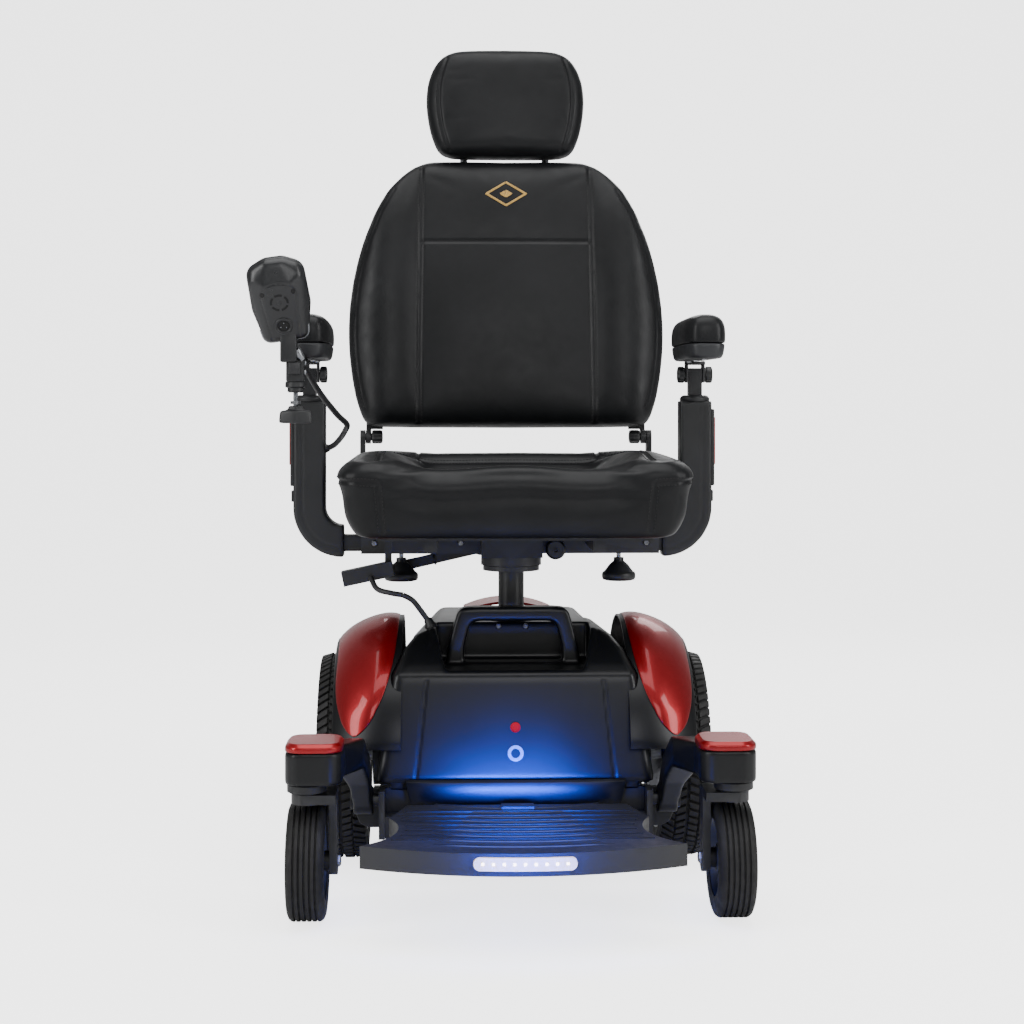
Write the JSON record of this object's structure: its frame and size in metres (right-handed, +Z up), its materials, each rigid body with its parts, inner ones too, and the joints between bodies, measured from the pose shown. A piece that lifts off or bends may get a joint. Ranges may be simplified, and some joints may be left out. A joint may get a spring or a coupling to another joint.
{
  "type": "power wheelchair",
  "caption": "Power wheelchair with mid drive wheels, sprung front casters, flip-up footplate with a light bar, swivelling padded seat, headrest and a joystick on the right arm.",
  "frame": {"origin": "on the floor under the seat post, midway between the drive wheels", "axes": "+Z up, -Y the way the chair faces, +X the occupant's left"},
  "size_m": [0.6695, 0.907, 1.2472],
  "materials": {
    "chassis_paint": "satin black powder coat",
    "shroud_plastic": "semi-gloss black moulding",
    "candy_red": "deep metallic red under clear coat",
    "tyre_rubber": "black rubber with tread",
    "rim_alloy": "satin cast alloy",
    "bright_steel": "zinc-plated steel",
    "black_leather": "soft black vinyl leather with fine grain and double stitching",
    "moulded_black": "fine-textured black plastic",
    "clear_lens": "clear ribbed lens over a row of lights",
    "lamp_red": "red lens",
    "cable_rubber": "black cable sheath",
    "battery_grey": "dark grey case",
    "motor_grey": "dark grey cast housing",
    "controller_alloy": "anodised finned case",
    "button_green": "green key",
    "button_amber": "amber key"
  },
  "bodies": {
    "base": {"base_frame": "chassis_paint", "batteries": "battery_grey", "motor_left": "motor_grey", "motor_right": "motor_grey", "controller": "controller_alloy", "front_shroud": "shroud_plastic", "fender_left": "shroud_plastic", "fender_right": "shroud_plastic", "fender_panel_left": "candy_red", "fender_panel_right": "candy_red", "rear_shroud": "shroud_plastic", "rear_trim": "candy_red", "indicator_lamp": "lamp_red", "power_inlet": "bright_steel", "base_cable": "cable_rubber"},
    "footrest": {"footplate": "moulded_black", "light_bar": "clear_lens"},
    "post": {"seat_post": "chassis_paint"},
    "seat": {"seat_frame": "chassis_paint", "seat_cushion": "black_leather", "cable_box": "moulded_black"},
    "swivel_release": {"swivel_lever": "chassis_paint"},
    "back": {"back_frame": "chassis_paint", "back_cushion": "black_leather"},
    "headrest": {"headrest_pad": "black_leather", "headrest_posts": "bright_steel"},
    "joystick_clamp": {"joystick_knob": "moulded_black"},
    "gimbal": {"joystick_boot": "cable_rubber"},
    "stick": {"joystick_stick": "moulded_black"},
    "power_key": {"power_button": "button_green"},
    "horn_key": {"horn_button": "button_amber"},
    "drive_wheel_left": {"drive_tyre_left": "tyre_rubber", "drive_rim_left": "rim_alloy"},
    "suspension_left": {"caster_arm_left": "shroud_plastic", "caster_cap_left": "candy_red"},
    "caster_swivel_left": {"caster_fork_left": "chassis_paint"},
    "caster_roll_left": {"caster_wheel_left": "tyre_rubber"},
    "rear_swivel_left": {"rear_fork_left": "chassis_paint"},
    "rear_roll_left": {"rear_wheel_left": "tyre_rubber"},
    "freewheel_left": {"freewheel_lever_left": "candy_red"},
    "width_clamp_left": {"width_knob_left": "moulded_black"},
    "recline_clamp_left": {"recline_knob_left": "moulded_black"},
    "arm_left": {"arm_frame_left": "moulded_black"},
    "post_left": {"arm_post_left": "bright_steel"},
    "armrest_left": {"armrest_pad_left": "moulded_black"},
    "drive_wheel_right": {"drive_tyre_right": "tyre_rubber", "drive_rim_right": "rim_alloy"},
    "suspension_right": {"caster_arm_right": "shroud_plastic", "caster_cap_right": "candy_red"},
    "caster_swivel_right": {"caster_fork_right": "chassis_paint"},
    "caster_roll_right": {"caster_wheel_right": "tyre_rubber"},
    "rear_swivel_right": {"rear_fork_right": "chassis_paint"},
    "rear_roll_right": {"rear_wheel_right": "tyre_rubber"},
    "freewheel_right": {"freewheel_lever_right": "candy_red"},
    "width_clamp_right": {"width_knob_right": "moulded_black"},
    "recline_clamp_right": {"recline_knob_right": "moulded_black"},
    "arm_right": {"arm_frame_right": "moulded_black"},
    "post_right": {"arm_post_right": "bright_steel"},
    "armrest_right": {"armrest_pad_right": "moulded_black", "joystick_case": "moulded_black"}
  },
  "joints": [
    {"name": "footplate_flip", "type": "hinge", "parent": "base", "child": "footrest", "pos_m": [0, -0.228, 0.104], "axis": [1, 0, 0], "range_deg": [-80, 0]},
    {"name": "drive_spin_left", "type": "hinge", "parent": "base", "child": "drive_wheel_left", "pos_m": [0.247, 0, 0.15], "axis": [1, 0, 0], "continuous": true},
    {"name": "suspension_left", "type": "hinge", "parent": "base", "child": "suspension_left", "pos_m": [0.212, -0.185, 0.12], "axis": [1, 0, 0], "range_deg": [-4, 4], "stiffness_Nm_per_rad": 900},
    {"name": "caster_swivel_left", "type": "hinge", "parent": "suspension_left", "child": "caster_swivel_left", "pos_m": [0.276, -0.375, 0.2], "axis": [0, 0, 1], "continuous": true},
    {"name": "caster_spin_left", "type": "hinge", "parent": "caster_swivel_left", "child": "caster_roll_left", "pos_m": [0.277, -0.345, 0.077], "axis": [1, 0, 0], "continuous": true},
    {"name": "rear_swivel_left", "type": "hinge", "parent": "base", "child": "rear_swivel_left", "pos_m": [0.15, 0.3, 0.16], "axis": [0, 0, 1], "continuous": true},
    {"name": "rear_spin_left", "type": "hinge", "parent": "rear_swivel_left", "child": "rear_roll_left", "pos_m": [0.15, 0.328, 0.062], "axis": [1, 0, 0], "continuous": true},
    {"name": "freewheel_turn_left", "type": "hinge", "parent": "base", "child": "freewheel_left", "pos_m": [0.15, 0.198, 0.15], "axis": [0, 1, 0], "range_deg": [0, 60]},
    {"name": "drive_spin_right", "type": "hinge", "parent": "base", "child": "drive_wheel_right", "pos_m": [-0.247, 0, 0.15], "axis": [1, 0, 0], "continuous": true},
    {"name": "suspension_right", "type": "hinge", "parent": "base", "child": "suspension_right", "pos_m": [-0.212, -0.185, 0.12], "axis": [1, 0, 0], "range_deg": [-4, 4], "stiffness_Nm_per_rad": 900},
    {"name": "caster_swivel_right", "type": "hinge", "parent": "suspension_right", "child": "caster_swivel_right", "pos_m": [-0.276, -0.375, 0.2], "axis": [0, 0, 1], "continuous": true},
    {"name": "caster_spin_right", "type": "hinge", "parent": "caster_swivel_right", "child": "caster_roll_right", "pos_m": [-0.277, -0.345, 0.077], "axis": [1, 0, 0], "continuous": true},
    {"name": "rear_swivel_right", "type": "hinge", "parent": "base", "child": "rear_swivel_right", "pos_m": [-0.15, 0.3, 0.16], "axis": [0, 0, 1], "continuous": true},
    {"name": "rear_spin_right", "type": "hinge", "parent": "rear_swivel_right", "child": "rear_roll_right", "pos_m": [-0.15, 0.328, 0.062], "axis": [1, 0, 0], "continuous": true},
    {"name": "freewheel_turn_right", "type": "hinge", "parent": "base", "child": "freewheel_right", "pos_m": [-0.15, 0.198, 0.15], "axis": [0, -1, 0], "range_deg": [0, 60]},
    {"name": "post_height", "type": "slide", "parent": "base", "child": "post", "axis": [0, 0, 1], "range_m": [0, 0.075]},
    {"name": "seat_swivel", "type": "hinge", "parent": "post", "child": "seat", "pos_m": [0, 0, 0.44], "axis": [0, 0, 1], "range_deg": [-90, 90]},
    {"name": "swivel_release_lift", "type": "hinge", "parent": "seat", "child": "swivel_release", "pos_m": [-0.045, 0.075, 0.45], "axis": [0, 1, 0], "range_deg": [0, 8]},
    {"name": "width_knob_turn_left", "type": "hinge", "parent": "seat", "child": "width_clamp_left", "pos_m": [0.165, 0.04, 0.43], "axis": [0, 0, 1], "range_deg": [-180, 180]},
    {"name": "width_knob_turn_right", "type": "hinge", "parent": "seat", "child": "width_clamp_right", "pos_m": [-0.165, 0.04, 0.43], "axis": [0, 0, 1], "range_deg": [-180, 180]},
    {"name": "back_fold", "type": "hinge", "parent": "seat", "child": "back", "pos_m": [0, 0.236, 0.618], "axis": [1, 0, 0], "range_deg": [-25, 35]},
    {"name": "recline_knob_turn_left", "type": "hinge", "parent": "seat", "child": "recline_clamp_left", "pos_m": [0.208, 0.236, 0.618], "axis": [1, 0, 0], "range_deg": [-180, 180]},
    {"name": "recline_knob_turn_right", "type": "hinge", "parent": "seat", "child": "recline_clamp_right", "pos_m": [-0.208, 0.236, 0.618], "axis": [1, 0, 0], "range_deg": [-180, 180]},
    {"name": "headrest_height", "type": "slide", "parent": "back", "child": "headrest", "axis": [0, 0.1392, 0.9903], "range_m": [0, 0.06]},
    {"name": "arm_width_left", "type": "slide", "parent": "seat", "child": "arm_left", "axis": [1, 0, 0], "range_m": [0, 0.05]},
    {"name": "arm_height_left", "type": "slide", "parent": "arm_left", "child": "post_left", "axis": [0, 0, 1], "range_m": [0, 0.06]},
    {"name": "arm_flip_left", "type": "hinge", "parent": "post_left", "child": "armrest_left", "pos_m": [0.281, 0.04, 0.716], "axis": [1, 0, 0], "range_deg": [-95, 0]},
    {"name": "arm_width_right", "type": "slide", "parent": "seat", "child": "arm_right", "axis": [-1, 0, 0], "range_m": [-0.02, 0.03]},
    {"name": "arm_height_right", "type": "slide", "parent": "arm_right", "child": "post_right", "axis": [0, 0, 1], "range_m": [0, 0.06]},
    {"name": "arm_flip_right", "type": "hinge", "parent": "post_right", "child": "armrest_right", "pos_m": [-0.303, 0.04, 0.716], "axis": [1, 0, 0], "range_deg": [-95, 0]},
    {"name": "joystick_knob_turn", "type": "hinge", "parent": "armrest_right", "child": "joystick_clamp", "pos_m": [-0.299, -0.27, 0.66], "axis": [0, 0, 1], "range_deg": [-180, 180]},
    {"name": "stick_pitch", "type": "hinge", "parent": "armrest_right", "child": "gimbal", "pos_m": [-0.32059, -0.29528, 0.83557], "axis": [0.9903, 0, 0.1392], "range_deg": [-20, 20], "stiffness_Nm_per_rad": 0.5},
    {"name": "stick_roll", "type": "hinge", "parent": "gimbal", "child": "stick", "pos_m": [-0.32059, -0.29528, 0.83557], "axis": [0.1205, 0.5, -0.8576], "range_deg": [-20, 20], "stiffness_Nm_per_rad": 0.5},
    {"name": "power_press", "type": "slide", "parent": "armrest_right", "child": "power_key", "axis": [0.0696, -0.866, -0.4951], "range_m": [0, 0.001], "stiffness_N_per_m": 800},
    {"name": "horn_press", "type": "slide", "parent": "armrest_right", "child": "horn_key", "axis": [0.0696, -0.866, -0.4951], "range_m": [0, 0.001], "stiffness_N_per_m": 800}
  ]
}
